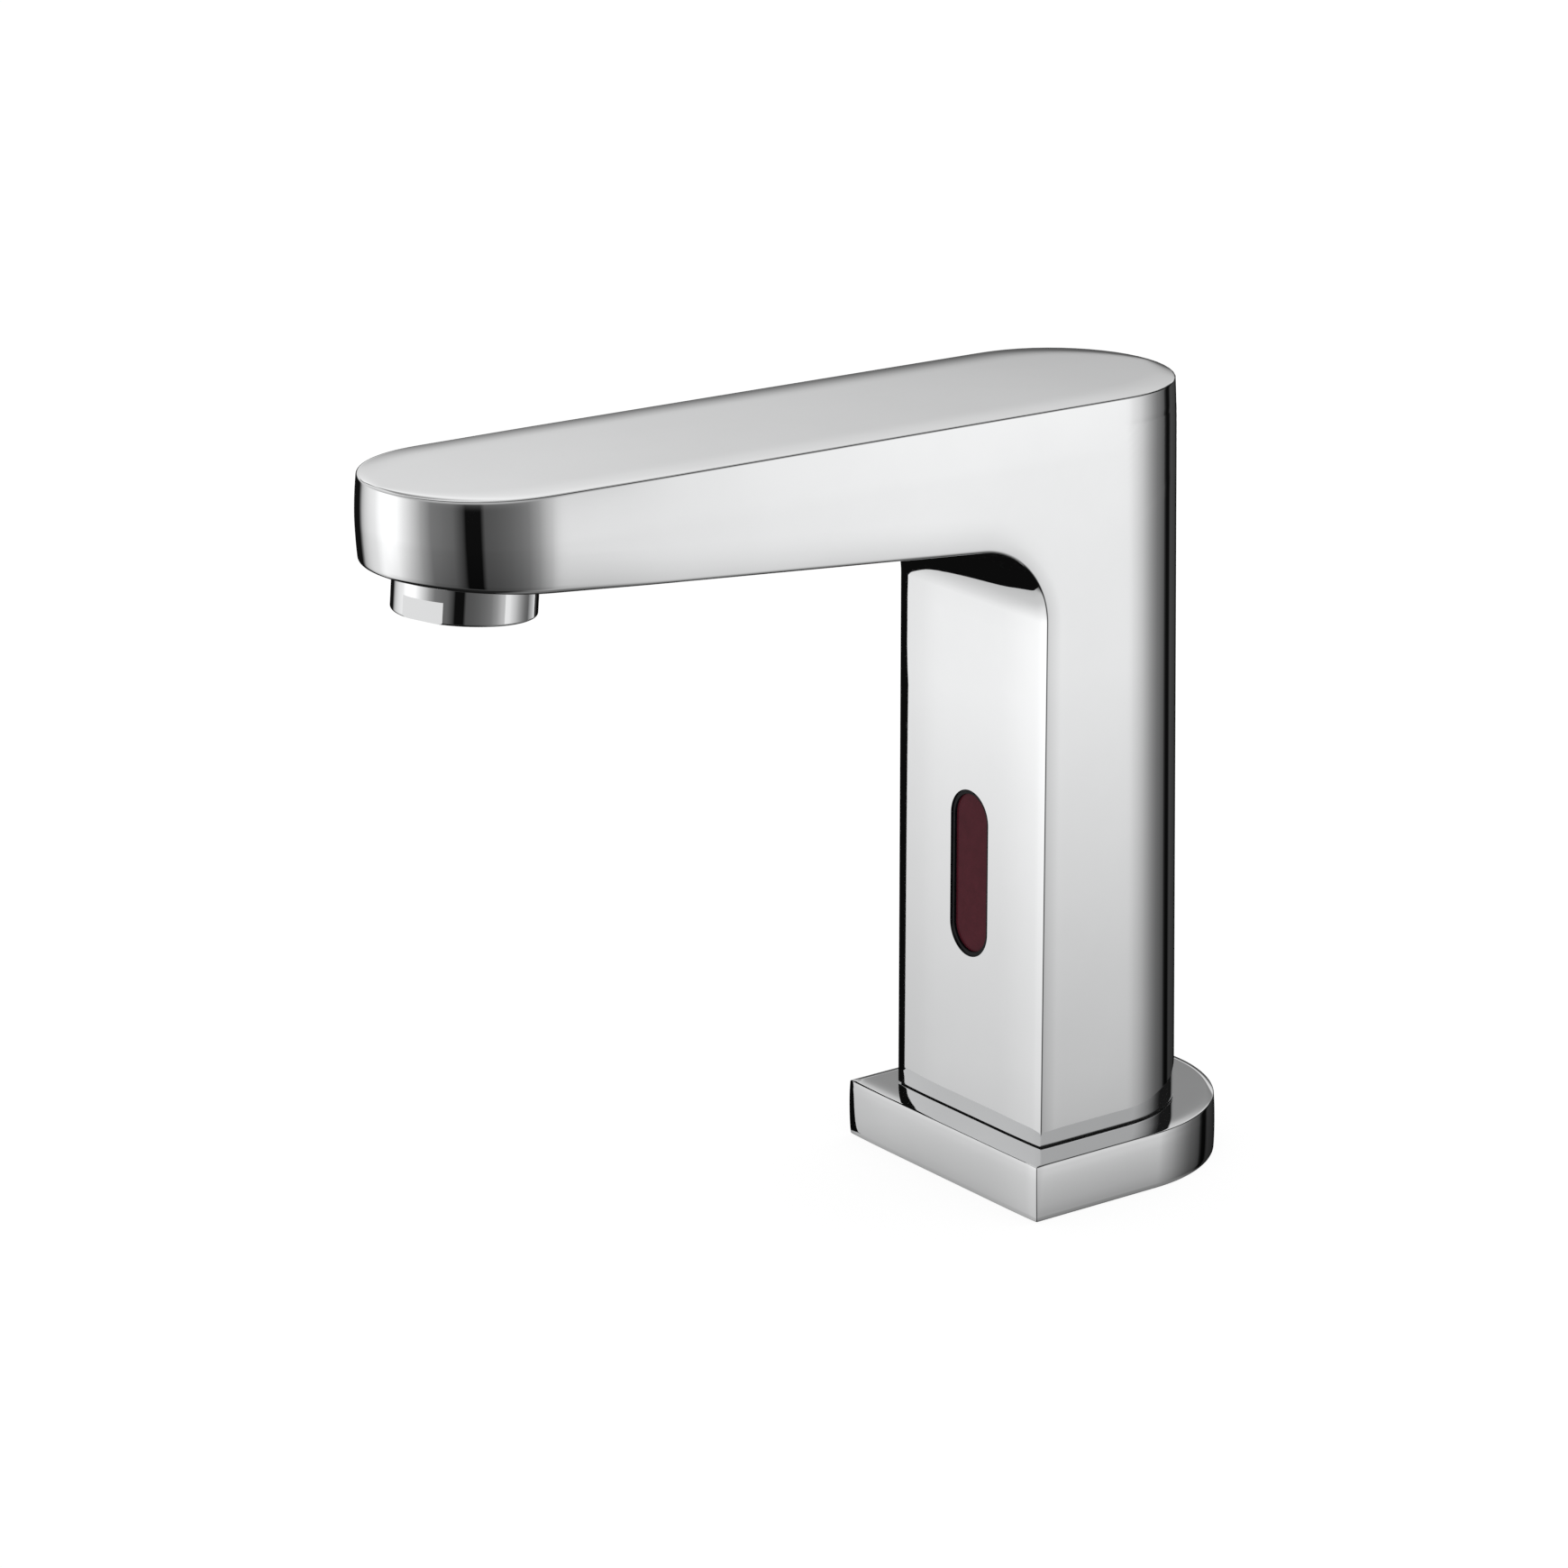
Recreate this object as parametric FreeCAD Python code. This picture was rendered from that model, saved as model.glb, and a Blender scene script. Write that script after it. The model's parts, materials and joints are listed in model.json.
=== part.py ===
import FreeCAD, Part
import os
from math import sin, cos, tan, atan, radians, degrees, pi, sqrt

# Touch-free deck-mounted basin tap.  Millimetres, +Z up, spout towards -Y.
# Origin: axis of the mounting stud's thread, at the plane of the deck (underside of the base plate).

# ---------------------------------------------------------------- driving dimensions
# base plate
plate_half_w = 29.08        # half width, also the radius of its round back
plate_front_y = -27.6
plate_back_cy = 0.95        # centre of the round back
plate_edge_z = 10.6         # height of the top at its edge
plate_top_z = 10.9          # height of the flat top
plate_wall = 3.0
plate_roof_z = 6.5          # underside of the plate's top wall
plate_ledge = 5.5           # offset of the inner hollow

# column and spout (one casting)
body_r = 22.2               # half width of the column = radius of its round back
nose_r = 22.1
nose_cy = -123.75
col_bottom_z = 11.35
front_y_105 = -19.15        # column front face at z = 105
front_draft = 0.0185        # mm per mm, deeper towards the bottom
top_z0 = 150.0              # top face at y = 0
top_rise = 0.0204           # rise per mm towards the nose
under_z0 = 125.24           # underside at y = under_y0
under_y0 = -19.33
under_rise = 0.0963         # rise per mm towards the nose
inner_corner_r = 15.3       # fillet between underside and column front
rim_fillet = 0.35
edge_fillet = 0.5

# hollow of the casting
wall = 3.0
cav_r = body_r - wall       # 19.2
cav_front_y = -16.6
cav_top_z = 117.0
partition_z = 120.0         # floor of the wet chamber

# aerator, on an axis square to the underside
aer_y = -127.6              # axis where it meets the underside
aer_r = 12.72
aer_drop = 7.3              # how far the collar hangs below the underside
aer_thread_r = 11.95        # M24 x 1
aer_socket_r = 12.03
aer_socket_depth = 8.7
aer_flat = 12.0             # 24 mm across flats
aer_flat_h = 3.9
aer_flat_deg = 21.0

# solenoid valve and waterway
val_x, val_y = -6.0, 1.5    # axis of the solenoid valve
tube_x, tube_y = 11.5, 1.5  # axis of the outlet tube
in_x, in_y = -7.5, -6.8     # axis of the inlet
inlet_r = 4.46              # M10 x 1, tapping size
stud_r = 3.4                # M8, tapping size
gland_x, gland_y = 4.6, 12.0
valve_z = 20.6              # underside of the valve body
plunger_travel = 1.6
disc_travel = 1.28
poppet_travel = 1.5

# fasteners
boss_xy = [(-15.6, -13.3), (15.6, -13.3), (-12.4, 10.2), (12.4, 10.2)]
mount_xy = [(-6.0, 13.3), (-16.4, -4.3), (12.5, -7.0)]
bonnet_xy = [(val_x + 11.6 * cos(radians(a)), val_y + 11.6 * sin(radians(a))) for a in (-30, 90, 210)]

# sensor window
sen_z = 58.35               # centre height
pill_r = 5.65
pill_h = 16.05              # half height

V = FreeCAD.Vector


# ---------------------------------------------------------------- helpers
def cyl(r, z0, z1, x=0.0, y=0.0):
    return Part.makeCylinder(r, z1 - z0, V(x, y, z0))


def tube(ro, ri, z0, z1, x=0.0, y=0.0):
    return cyl(ro, z0, z1, x, y).cut(cyl(ri, z0 - 1, z1 + 1, x, y))


def box(x0, x1, y0, y1, z0, z1):
    return Part.makeBox(x1 - x0, y1 - y0, z1 - z0, V(x0, y0, z0))


def fuse(*s):
    r = s[0]
    rest = list(s[1:])
    return r.fuse(rest) if rest else r


def cutall(s, tools):
    return s.cut(tools) if tools else s


def d_shape(hw, front, cy, r, z0, z1):
    """Square front, round back."""
    p = [V(-hw, front, z0), V(hw, front, z0), V(r, cy, z0), V(-r, cy, z0)]
    e = [Part.makeLine(p[0], p[1]), Part.makeLine(p[1], p[2]),
         Part.Arc(p[2], V(0, cy + r, z0), p[3]).toShape(), Part.makeLine(p[3], p[0])]
    return Part.Face(Part.Wire(e)).extrude(V(0, 0, z1 - z0))


def stadium(r0, cy0, r1, cy1, z0, z1):
    """Round back (r0 at cy0), round nose (r1 at cy1), joined by tangents."""
    L = cy0 - cy1
    s = (r0 - r1) / L
    c = sqrt(1 - s * s)
    a = V(r0 * c, cy0 - r0 * s, z0)
    b = V(r1 * c, cy1 - r1 * s, z0)
    a2 = V(-a.x, a.y, z0)
    b2 = V(-b.x, b.y, z0)
    e = [Part.Arc(a, V(0, cy0 + r0, z0), a2).toShape(), Part.makeLine(a2, b2),
         Part.Arc(b2, V(0, cy1 - r1, z0), b).toShape(), Part.makeLine(b, a)]
    return Part.Face(Part.Wire(e)).extrude(V(0, 0, z1 - z0))


def prism_yz(pts, hx):
    p = [V(-hx, y, z) for y, z in pts]
    return Part.Face(Part.makePolygon(p + [p[0]])).extrude(V(2 * hx, 0, 0))


def pill(hw, hh, y0, y1):
    """Upright pill in the XZ plane, from y0 to y1, centred on z = 0."""
    k = hh - hw
    e = [Part.Arc(V(hw, y0, k), V(0, y0, hh), V(-hw, y0, k)).toShape(),
         Part.makeLine(V(-hw, y0, k), V(-hw, y0, -k)),
         Part.Arc(V(-hw, y0, -k), V(0, y0, -hh), V(hw, y0, -k)).toShape(),
         Part.makeLine(V(hw, y0, -k), V(hw, y0, k))]
    return Part.Face(Part.Wire(e)).extrude(V(0, y1 - y0, 0))


def ycyl(r, y0, y1, x=0.0, z=0.0):
    return Part.makeCylinder(r, y1 - y0, V(x, y0, z), V(0, 1, 0))


def coil_spring(r, wire, turns, z0, z1, x, y):
    """Round wire swept along a helix of quarter turns, with its ends cut square."""
    pitch = (z1 - z0 - wire) / turns
    edges = []
    for k in range(int(round(turns * 4))):
        e = Part.makeHelix(pitch, pitch / 4, r)
        e.rotate(V(0, 0, 0), V(0, 0, 1), 90.0 * k)
        e.translate(V(0, 0, pitch * k / 4))
        edges += e.Edges
    prof = Part.Wire(Part.makeCircle(wire / 2, V(r, 0, 0), V(0, 1, 0)))
    sh = Part.Wire(edges).makePipeShell([prof], True, True)
    sh.translate(V(x, y, z0 + wire / 2))
    return sh


def screw(r, head_r, head_h, z0, z1, x, y, hex_r):
    """Socket screw pointing up, head at the bottom."""
    s = cyl(head_r, z0, z0 + head_h, x, y).fuse(cyl(r, z0 + head_h - 0.01, z1, x, y))
    k = Part.Face(Part.makePolygon([V(x + hex_r * cos(radians(a)), y + hex_r * sin(radians(a)), z0 - 0.1)
                                    for a in range(0, 361, 60)])).extrude(V(0, 0, head_h * 0.6))
    return s.cut(k)


def one(s):
    s = s.removeSplitter()
    return s


nodes = {}

# ---------------------------------------------------------------- tap body
def front_y(z):
    return front_y_105 - front_draft * (105.0 - z)


def under_z(y):
    return under_z0 + under_rise * (under_y0 - y)


def top_z(y):
    return top_z0 - top_rise * y


# side profile of the casting, with the inner corner's fillet
n1 = V(0, under_rise, 1.0); n1.normalize()             # upward normal of the underside line
n2 = V(0, 1.0, -front_draft); n2.normalize()           # inward normal of the front line
c1 = n1.dot(V(0, under_y0, under_z0))
c2 = n2.dot(V(0, front_y_105, 105.0))
det = n1.y * n2.z - n1.z * n2.y
k1, k2 = c1 - inner_corner_r, c2 - inner_corner_r
cc = V(0, (k1 * n2.z - n1.z * k2) / det, (n1.y * k2 - k1 * n2.y) / det)
t1 = cc + n1 * inner_corner_r
t2 = cc + n2 * inner_corner_r
mid = (n1 + n2); mid.normalize()
tm = cc + mid * inner_corner_r

hx = 32.0
yb, yn = 40.0, -160.0


def P(y, z):
    return V(-hx, y, z)


prof_edges = [
    Part.makeLine(P(yb, col_bottom_z), P(front_y(col_bottom_z), col_bottom_z)),
    Part.makeLine(P(front_y(col_bottom_z), col_bottom_z), P(t2.y, t2.z)),
    Part.Arc(P(t2.y, t2.z), P(tm.y, tm.z), P(t1.y, t1.z)).toShape(),
    Part.makeLine(P(t1.y, t1.z), P(yn, under_z(yn))),
    Part.makeLine(P(yn, under_z(yn)), P(yn, top_z(yn))),
    Part.makeLine(P(yn, top_z(yn)), P(yb, top_z(yb))),
    Part.makeLine(P(yb, top_z(yb)), P(yb, col_bottom_z)),
]
profile = Part.Face(Part.Wire(prof_edges)).extrude(V(2 * hx, 0, 0))
outer = profile.common(stadium(body_r, 0.0, nose_r, nose_cy, 0.0, 170.0)).removeSplitter()


def is_top(e):
    return all(abs(v.Z - top_z(v.Y)) < 1e-3 for v in e.Vertexes) and \
        abs(e.valueAt(e.FirstParameter + 0.37 * (e.LastParameter - e.FirstParameter)).z
            - top_z(e.valueAt(e.FirstParameter + 0.37 * (e.LastParameter - e.FirstParameter)).y)) < 1e-3


def is_under(e):
    for f in (0.0, 0.31, 0.77, 1.0):
        p = e.valueAt(e.FirstParameter + f * (e.LastParameter - e.FirstParameter))
        on_under = abs(p.z - under_z(p.y)) < 0.02 and p.y < t1.y + 0.05
        on_front = abs(p.y - front_y(p.z)) < 0.02 and p.z < t2.z + 0.05
        on_fil = abs(sqrt((p.y - cc.y) ** 2 + (p.z - cc.z) ** 2) - inner_corner_r) < 0.02
        if not (on_under or on_front or on_fil):
            return False
    # leave out edges that cross the width, and the bottom edge of the column
    a = e.valueAt(e.FirstParameter)
    b = e.valueAt(e.LastParameter)
    if abs(a.x + b.x) < 1e-3 and abs(a.y - b.y) < 1e-3 and a.y > nose_cy:
        return False
    return True


top_edges = [e for e in outer.Edges if is_top(e)]
low_edges = [e for e in outer.Edges if is_under(e)]
outer = outer.makeFillet(rim_fillet, top_edges)
outer = outer.makeFillet(edge_fillet, [e for e in outer.Edges if is_under(e)])

# dry cavity of the column
cavity = d_shape(cav_r, cav_front_y, 0.0, cav_r, col_bottom_z - 1, cav_top_z)
bosses = [cyl(3.3, col_bottom_z, 20.0, x, y) for x, y in boss_xy]
# solid corner behind each boss, so that it grows out of the wall
webs = []
for x, y in boss_xy:
    sx = 1 if x > 0 else -1
    if y < 0:
        webs.append(box(min(x, x + sx * 5), max(x, x + sx * 5), y - 4.5, y + 3.3, col_bottom_z, 20.0))
        webs.append(box(x - 3.3, x + 3.3, y - 4.5, y, col_bottom_z, 20.0))
    else:
        webs.append(cyl(3.3, col_bottom_z, 20.0, 1.13 * x, 1.13 * y))
keep = fuse(*(bosses + webs)).common(d_shape(cav_r + 0.5, cav_front_y - 0.5, 0.0, cav_r + 0.5, col_bottom_z, 20.0))
cavity = cavity.cut(keep)

# wet chamber: over the column and along the spout, round the aerator's socket
ch_r, ch_nr = body_r - wall, nose_r - wall
ch_pts = [(cav_r + 1, partition_z), (-15.0, partition_z), (-27.0, under_z(-27.0) + 3.1),
          (-150.0, under_z(-150.0) + 3.1), (-150.0, top_z(-150.0) - 3.0), (cav_r + 1, top_z(cav_r + 1) - 3.0)]
chamber = prism_yz(ch_pts, hx).common(stadium(ch_r, 0.0, ch_nr, nose_cy, 100.0, 160.0))

aer_tilt = degrees(atan(under_rise))
aer_o = V(0, aer_y, under_z(aer_y))


def aer(s):
    """Aerator parts are drawn upright about z = 0 at the underside, then leant and moved."""
    s = s.copy()
    s.rotate(V(0, 0, 0), V(1, 0, 0), -aer_tilt)
    s.translate(aer_o)
    return s


sleeve = aer(cyl(14.6, -2.0, aer_socket_depth + 1.0))
chamber = chamber.cut(sleeve)
socket = aer(cyl(aer_socket_r, -2.0, aer_socket_depth))
throat = aer(cyl(9.0, aer_socket_depth - 1.0, aer_socket_depth + 3.2))

# sensor parts are drawn with the outer face at y = 0, inward +y, then leant with the front face
lean = degrees(atan(front_draft))
sen_o = V(0, front_y(sen_z), sen_z)


def sen(s):
    s = s.copy()
    s.rotate(V(0, 0, 0), V(1, 0, 0), -lean)
    s.translate(sen_o)
    return s


pad_depth = 2.6
pad = sen(box(-9.2, 9.2, pad_depth, pad_depth + 4.0, -19.0, 19.0))
window_hole = sen(pill(pill_r + 0.03, pill_h + 0.03, -2.0, pad_depth + 1.0))
# two cast ribs a side that the sensor's spring clip hooks behind
ribs = [sen(box(-cav_r - 0.6, -16.4, 12.15, 14.0, -12.0, 12.0)), sen(box(16.4, cav_r + 0.6, 12.15, 14.0, -12.0, 12.0))]

port_boss = cyl(6.6, 108.0, cav_top_z + 0.5, tube_x, tube_y)
port = cyl(4.1, 100.0, partition_z + 1.0, tube_x, tube_y)
port_groove = tube(5.2, 4.0, 112.0, 113.3, tube_x, tube_y)

body = outer.cut(cavity).cut(chamber)
body = body.fuse([port_boss.common(d_shape(cav_r + 0.5, cav_front_y, 0, cav_r + 0.5, 100, 120))] + ribs)
body = body.cut([socket, throat, window_hole, pad, port, port_groove]
                + [cyl(2.0, col_bottom_z - 1, 19.0, x, y) for x, y in boss_xy])
nodes["tap_body"] = one(body)

# ---------------------------------------------------------------- base plate, seals
plate = d_shape(plate_half_w, plate_front_y, plate_back_cy, plate_half_w, 0.0, plate_top_z)


def off_d(o, z0, z1):
    return d_shape(plate_half_w - o, plate_front_y + o, plate_back_cy, plate_half_w - o, z0, z1)


pe = [e for e in plate.Edges if all(abs(v.Z - plate_top_z) < 1e-6 for v in e.Vertexes)]
plate = plate.makeChamfer(plate_top_z - plate_edge_z, pe)
pv = [e for e in plate.Edges if len(e.Vertexes) == 2 and abs(e.Vertexes[0].X - e.Vertexes[1].X) < 1e-6
      and abs(e.Vertexes[0].Y - e.Vertexes[1].Y) < 1e-6 and e.Vertexes[0].Y < 0]
plate = plate.makeFillet(0.5, pv)
plate = plate.cut([off_d(plate_wall, -1.0, 2.5), off_d(plate_ledge, 2.0, plate_roof_z),
                   d_shape(cav_r - 0.5, cav_front_y + 0.2, 0.0, cav_r - 0.5, 5.0, 12.0)]
                  + [cyl(2.4, 5.0, 12.0, x, y) for x, y in boss_xy])
nodes["base_plate"] = one(plate)

gasket = off_d(plate_wall + 0.1, 0.0, 2.4).cut(off_d(8.6, -1.0, 3.0))
nodes["base_gasket"] = one(gasket)

seal = d_shape(body_r - 0.5, front_y(col_bottom_z) + 0.5, 0.0, body_r - 0.5, plate_top_z, col_bottom_z)
seal = seal.cut([d_shape(cav_r - 0.5, cav_front_y + 0.2, 0.0, cav_r - 0.5, 10.0, 12.0)]
                + [cyl(2.4, 10.0, 12.0, x, y) for x, y in boss_xy])
nodes["body_seal"] = one(seal)

# ---------------------------------------------------------------- base block
block_r = cav_r - 0.9
block = off_d(plate_ledge + 0.4, 2.5, plate_roof_z - 0.05)
riser = d_shape(block_r, cav_front_y + 0.8, 0.0, block_r, 6.0, valve_z - 0.05)
for x, y in boss_xy:
    sx = 1 if x > 0 else -1
    cutter = cyl(4.0, plate_top_z, 30, x, y)
    if y < 0:
        cutter = cutter.fuse([box(min(x, x + sx * 6), max(x, x + sx * 6), y - 6, y + 4.0, plate_top_z, 30),
                              box(x - 4.0, x + 4.0, y - 6, y, plate_top_z, 30)])
    else:
        cutter = cutter.fuse(box(min(x, x + sx * 8), max(x, x + sx * 8), y - 1.0, y + 8, plate_top_z, 30))
    riser = riser.cut(cutter)
foot = cyl(5.5, 0.0, 3.0)
block = block.fuse([riser, foot])
block = block.cut(
    [cyl(stud_r, -1.0, 14.0),
     cyl(inlet_r, 0.0, 11.0, in_x, in_y), cyl(5.0, 10.5, 30.0, in_x, in_y),
     tube(7.0, 5.4, valve_z - 1.25, 30.0, in_x, in_y),
     cyl(3.6, 0.0, 9.0, gland_x, gland_y), cyl(2.9, 8.0, 30.0, gland_x, gland_y)]
    + [cyl(2.2, 0.0, 30.0, x, y) for x, y in boss_xy]
    + [cyl(3.8, 0.0, 6.3, x, y) for x, y in boss_xy]
    + [cyl(1.65, 0.0, 30.0, x, y) for x, y in mount_xy]
    + [cyl(3.0, 0.0, 5.6, x, y) for x, y in mount_xy])
nodes["base_block"] = one(block)

nodes["body_screws"] = Part.makeCompound([screw(2.0, 3.5, 3.7, 2.6, 18.5, x, y, 1.7) for x, y in boss_xy])
nodes["valve_mount_screws"] = Part.makeCompound([screw(1.5, 2.75, 2.9, 2.7, 27.0, x, y, 1.4) for x, y in mount_xy])

gland = fuse(cyl(4.9, 0.6, 2.5, gland_x, gland_y), cyl(3.6, 2.5, 8.9, gland_x, gland_y),
             cyl(2.9, 8.9, 12.0, gland_x, gland_y)).cut(cyl(2.25, 0.0, 13.0, gland_x, gland_y))
nodes["cable_gland"] = one(gland)

# ---------------------------------------------------------------- inlet strainer and check valve
mesh_bars = [box(in_x - 4.6, in_x + 4.6, in_y + k * 1.3 - 0.2, in_y + k * 1.3 + 0.2, 10.6, 10.95) for k in range(-3, 4)] + \
            [box(in_x + k * 1.3 - 0.2, in_x + k * 1.3 + 0.2, in_y - 4.6, in_y + 4.6, 10.6, 10.95) for k in range(-3, 4)]
mesh = fuse(*mesh_bars).common(cyl(4.6, 10.6, 10.95, in_x, in_y))
nodes["inlet_strainer"] = one(tube(4.9, 4.3, 10.6, 12.4, in_x, in_y).fuse(mesh))

cv = tube(4.93, 3.6, 12.5, 20.4, in_x, in_y)
cv_seat = tube(4.0, 2.5, 12.5, 13.5, in_x, in_y)
arms = [box(in_x - 4.0, in_x + 4.0, in_y - 0.5, in_y + 0.5, 18.4, 19.6), box(in_x - 0.5, in_x + 0.5, in_y - 4.0, in_y + 4.0, 18.4, 19.6)]
cv = cv.fuse([cv_seat, cyl(1.5, 18.4, 19.6, in_x, in_y)] + arms)
cv = cv.cut([cyl(0.78, 18.0, 20.0, in_x, in_y), tube(6.0, 4.2, 15.6, 16.5, in_x, in_y)])
nodes["check_valve_housing"] = one(cv)
nodes["check_valve_ring"] = Part.makeTorus(4.6, 0.4, V(in_x, in_y, 16.05))
poppet = fuse(cyl(3.0, 13.52, 14.7, in_x, in_y), cyl(0.7, 14.5, 19.2, in_x, in_y),
              cyl(1.6, 14.5, 15.2, in_x, in_y))
nodes["check_valve_poppet"] = one(poppet)
nodes["check_valve_spring"] = coil_spring(2.1, 0.45, 3.0, 14.72, 18.38, in_x, in_y)

# ---------------------------------------------------------------- solenoid valve
lim = d_shape(cav_r - 0.45, cav_front_y + 0.6, 0.0, cav_r - 0.45, 0.0, 60.0)
pot = cyl(12.0, valve_z, 38.0, val_x, val_y)
out_boss = cyl(6.0, valve_z, 38.0, tube_x, tube_y)
bridge = box(val_x, tube_x, val_y - 5.5, val_y + 5.5, valve_z, 34.0)
ears = [cyl(3.0, valve_z, 38.0, x, y) for x, y in bonnet_xy] + [cyl(3.2, valve_z, 30.0, x, y) for x, y in mount_xy]
in_foot = cyl(7.3, valve_z, 27.0, in_x, in_y)
ear_web = box(8.0, 13.0, -7.5, 0.0, valve_z, 28.0)
vb = pot.fuse([out_boss, bridge, in_foot, ear_web] + ears).common(lim)
annulus = tube(9.4, 5.4, 30.5, 40.0, val_x, val_y)
above = cyl(9.4, 35.5, 40.0, val_x, val_y)
bead_seat = cyl(10.3, 36.4, 40.0, val_x, val_y)
a0 = V(in_x, in_y, valve_z - 0.5)
a1 = V(val_x - 0.9, val_y - 7.4, 31.2)
d01 = a1 - a0
slant = Part.makeCylinder(1.85, d01.Length, a0, d01)
vb = vb.cut([annulus, above, bead_seat, slant,
             cyl(3.6, 24.5, 40.0, val_x, val_y),
             Part.makeCylinder(3.2, tube_x - val_x, V(val_x, val_y, 26.6), V(1, 0, 0)),
             cyl(3.2, 24.5, 34.0, tube_x, tube_y), Part.makeSphere(3.2, V(tube_x, tube_y, 26.6)),
             cyl(4.1, 31.0, 40.0, tube_x, tube_y), tube(5.2, 4.0, 34.0, 35.3, tube_x, tube_y)]
            + [cyl(1.25, 31.0, 40.0, x, y) for x, y in bonnet_xy]
            + [cyl(1.5, 20.0, 27.5, x, y) for x, y in mount_xy])
nodes["valve_body"] = one(vb)
nodes["valve_ring"] = Part.makeTorus(6.2, 0.6, V(in_x, in_y, valve_z - 0.6))

dia = fuse(cyl(6.5, 35.52, 36.7, val_x, val_y), tube(9.3, 6.0, 36.1, 36.7, val_x, val_y),
           tube(10.2, 9.0, 36.1, 37.95, val_x, val_y).cut(tube(12, 9.3, 35.0, 36.42, val_x, val_y)))
dia = dia.cut([cyl(2.05, 35.0, 37.0, val_x, val_y), cyl(0.35, 35.0, 37.0, val_x, val_y - 5.9)])
nodes["diaphragm"] = one(dia)
disc = fuse(cyl(5.6, 36.72, 38.1, val_x, val_y), cyl(2.0, 34.0, 36.8, val_x, val_y))
fins = fuse(box(val_x - 3.45, val_x + 3.45, val_y - 0.4, val_y + 0.4, 32.5, 35.4),
            box(val_x - 0.4, val_x + 0.4, val_y - 3.45, val_y + 3.45, 32.5, 35.4)).common(cyl(3.5, 30, 36, val_x, val_y))
disc = disc.fuse([fins, cyl(2.0, 32.5, 34.2, val_x, val_y)]).cut(cyl(0.6, 30.0, 40.0, val_x, val_y))
nodes["diaphragm_disc"] = one(disc)

bonnet = fuse(cyl(11.9, 38.0, 41.2, val_x, val_y), cyl(6.6, 41.0, 45.9, val_x, val_y),
              *[cyl(3.0, 38.0, 41.0, x, y) for x, y in bonnet_xy]).common(lim)
bonnet = bonnet.cut([cyl(8.8, 37.0, 39.6, val_x, val_y), cyl(4.15, 37.0, 50.0, val_x, val_y),
                     cyl(5.05, 42.4, 50.0, val_x, val_y)]
                    + [cyl(1.45, 37.0, 45.0, x, y) for x, y in bonnet_xy]
                    + [cyl(2.4, 40.9, 45.0, x, y) for x, y in bonnet_xy])
nodes["valve_bonnet"] = one(bonnet)
bs = []
for x, y in bonnet_xy:
    s = cyl(2.2, 40.9, 42.5, x, y).fuse(cyl(1.24, 31.5, 41.0, x, y))
    bs.append(s.cut([box(x - 1.5, x + 1.5, y - 0.3, y + 0.3, 41.7, 43), box(x - 0.3, x + 0.3, y - 1.5, y + 1.5, 41.7, 43)]))
nodes["bonnet_screws"] = Part.makeCompound(bs)

nodes["core_tube"] = one(tube(4.7, 4.0, 45.0, 65.9, val_x, val_y).fuse(tube(5.0, 4.0, 42.42, 45.95, val_x, val_y)))
pole = fuse(cyl(3.97, 59.6, 65.9, val_x, val_y), cyl(4.7, 65.9, 66.6, val_x, val_y), cyl(2.5, 66.5, 71.2, val_x, val_y))
nodes["pole_piece"] = one(pole)
pl = cyl(3.93, 39.2, 58.0, val_x, val_y)
pl = pl.cut([cyl(1.65, 38.0, 40.6, val_x, val_y), cyl(2.3, 50.0, 60.0, val_x, val_y)]
            + [box(val_x + sx * 3.5 - 0.5, val_x + sx * 3.5 + 0.5, val_y - 0.5, val_y + 0.5, 39.0, 59.0) for sx in (-1, 1)])
nodes["plunger"] = one(pl)
nodes["plunger_seal"] = one(cyl(1.62, 38.13, 40.55, val_x, val_y))
nodes["plunger_spring"] = coil_spring(1.75, 0.35, 7.0, 50.02, 59.58, val_x, val_y)

coil = fuse(cyl(8.6, 47.3, 48.4, val_x, val_y), cyl(8.0, 48.4, 64.4, val_x, val_y), cyl(8.6, 64.4, 65.7, val_x, val_y),
            box(val_x + 3.0, val_x + 9.2, val_y - 3.0 - 5.5, val_y - 3.0, 60.0, 65.7).common(cyl(10.2, 59, 66, val_x, val_y)))
nodes["solenoid_coil"] = one(coil.cut(cyl(4.8, 40.0, 70.0, val_x, val_y)))
yoke = box(val_x - 10.6, val_x + 10.6, val_y - 3.9, val_y + 3.9, 45.95, 67.9)
yoke = yoke.cut([box(val_x - 9.4, val_x + 9.4, val_y - 5, val_y + 5, 47.15, 66.7),
                 cyl(4.85, 40.0, 50.0, val_x, val_y), cyl(2.6, 60.0, 70.0, val_x, val_y)])
nodes["coil_yoke"] = one(yoke)
nut = Part.Face(Part.makePolygon([V(val_x + 4.6 * cos(radians(a)), val_y + 4.6 * sin(radians(a)), 67.95)
                                  for a in range(0, 361, 60)])).extrude(V(0, 0, 2.6)).cut(cyl(2.5, 60, 80, val_x, val_y))
nodes["coil_nut"] = one(nut)

# coil's lead: up from the terminal block, over and down into the top of the sensor housing
lead_r = 1.1
lx0, ly0, lz0 = val_x + 6.6, val_y - 5.2, 65.75
lz1 = 88.0
bend = 3.6
ly1 = -12.6
dirv = V(0.6 - lx0, ly1 - ly0, 0)
run = dirv.Length
dirv.normalize()
pA = V(lx0, ly0, lz0)
pB = V(lx0, ly0, lz1 - bend)
cB = pB + dirv * bend
pC = cB + V(0, 0, bend)
pD = V(lx0, ly0, lz1) + dirv * (run - bend)
pE = V(lx0, ly0, lz1 - bend) + dirv * run
pF = V(pE.x, pE.y, 75.5)
h = sin(radians(45)) * bend
mB = cB + V(0, 0, h) - dirv * h
mD = V(pD.x, pD.y, lz1 - bend) + dirv * h + V(0, 0, h)
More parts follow.
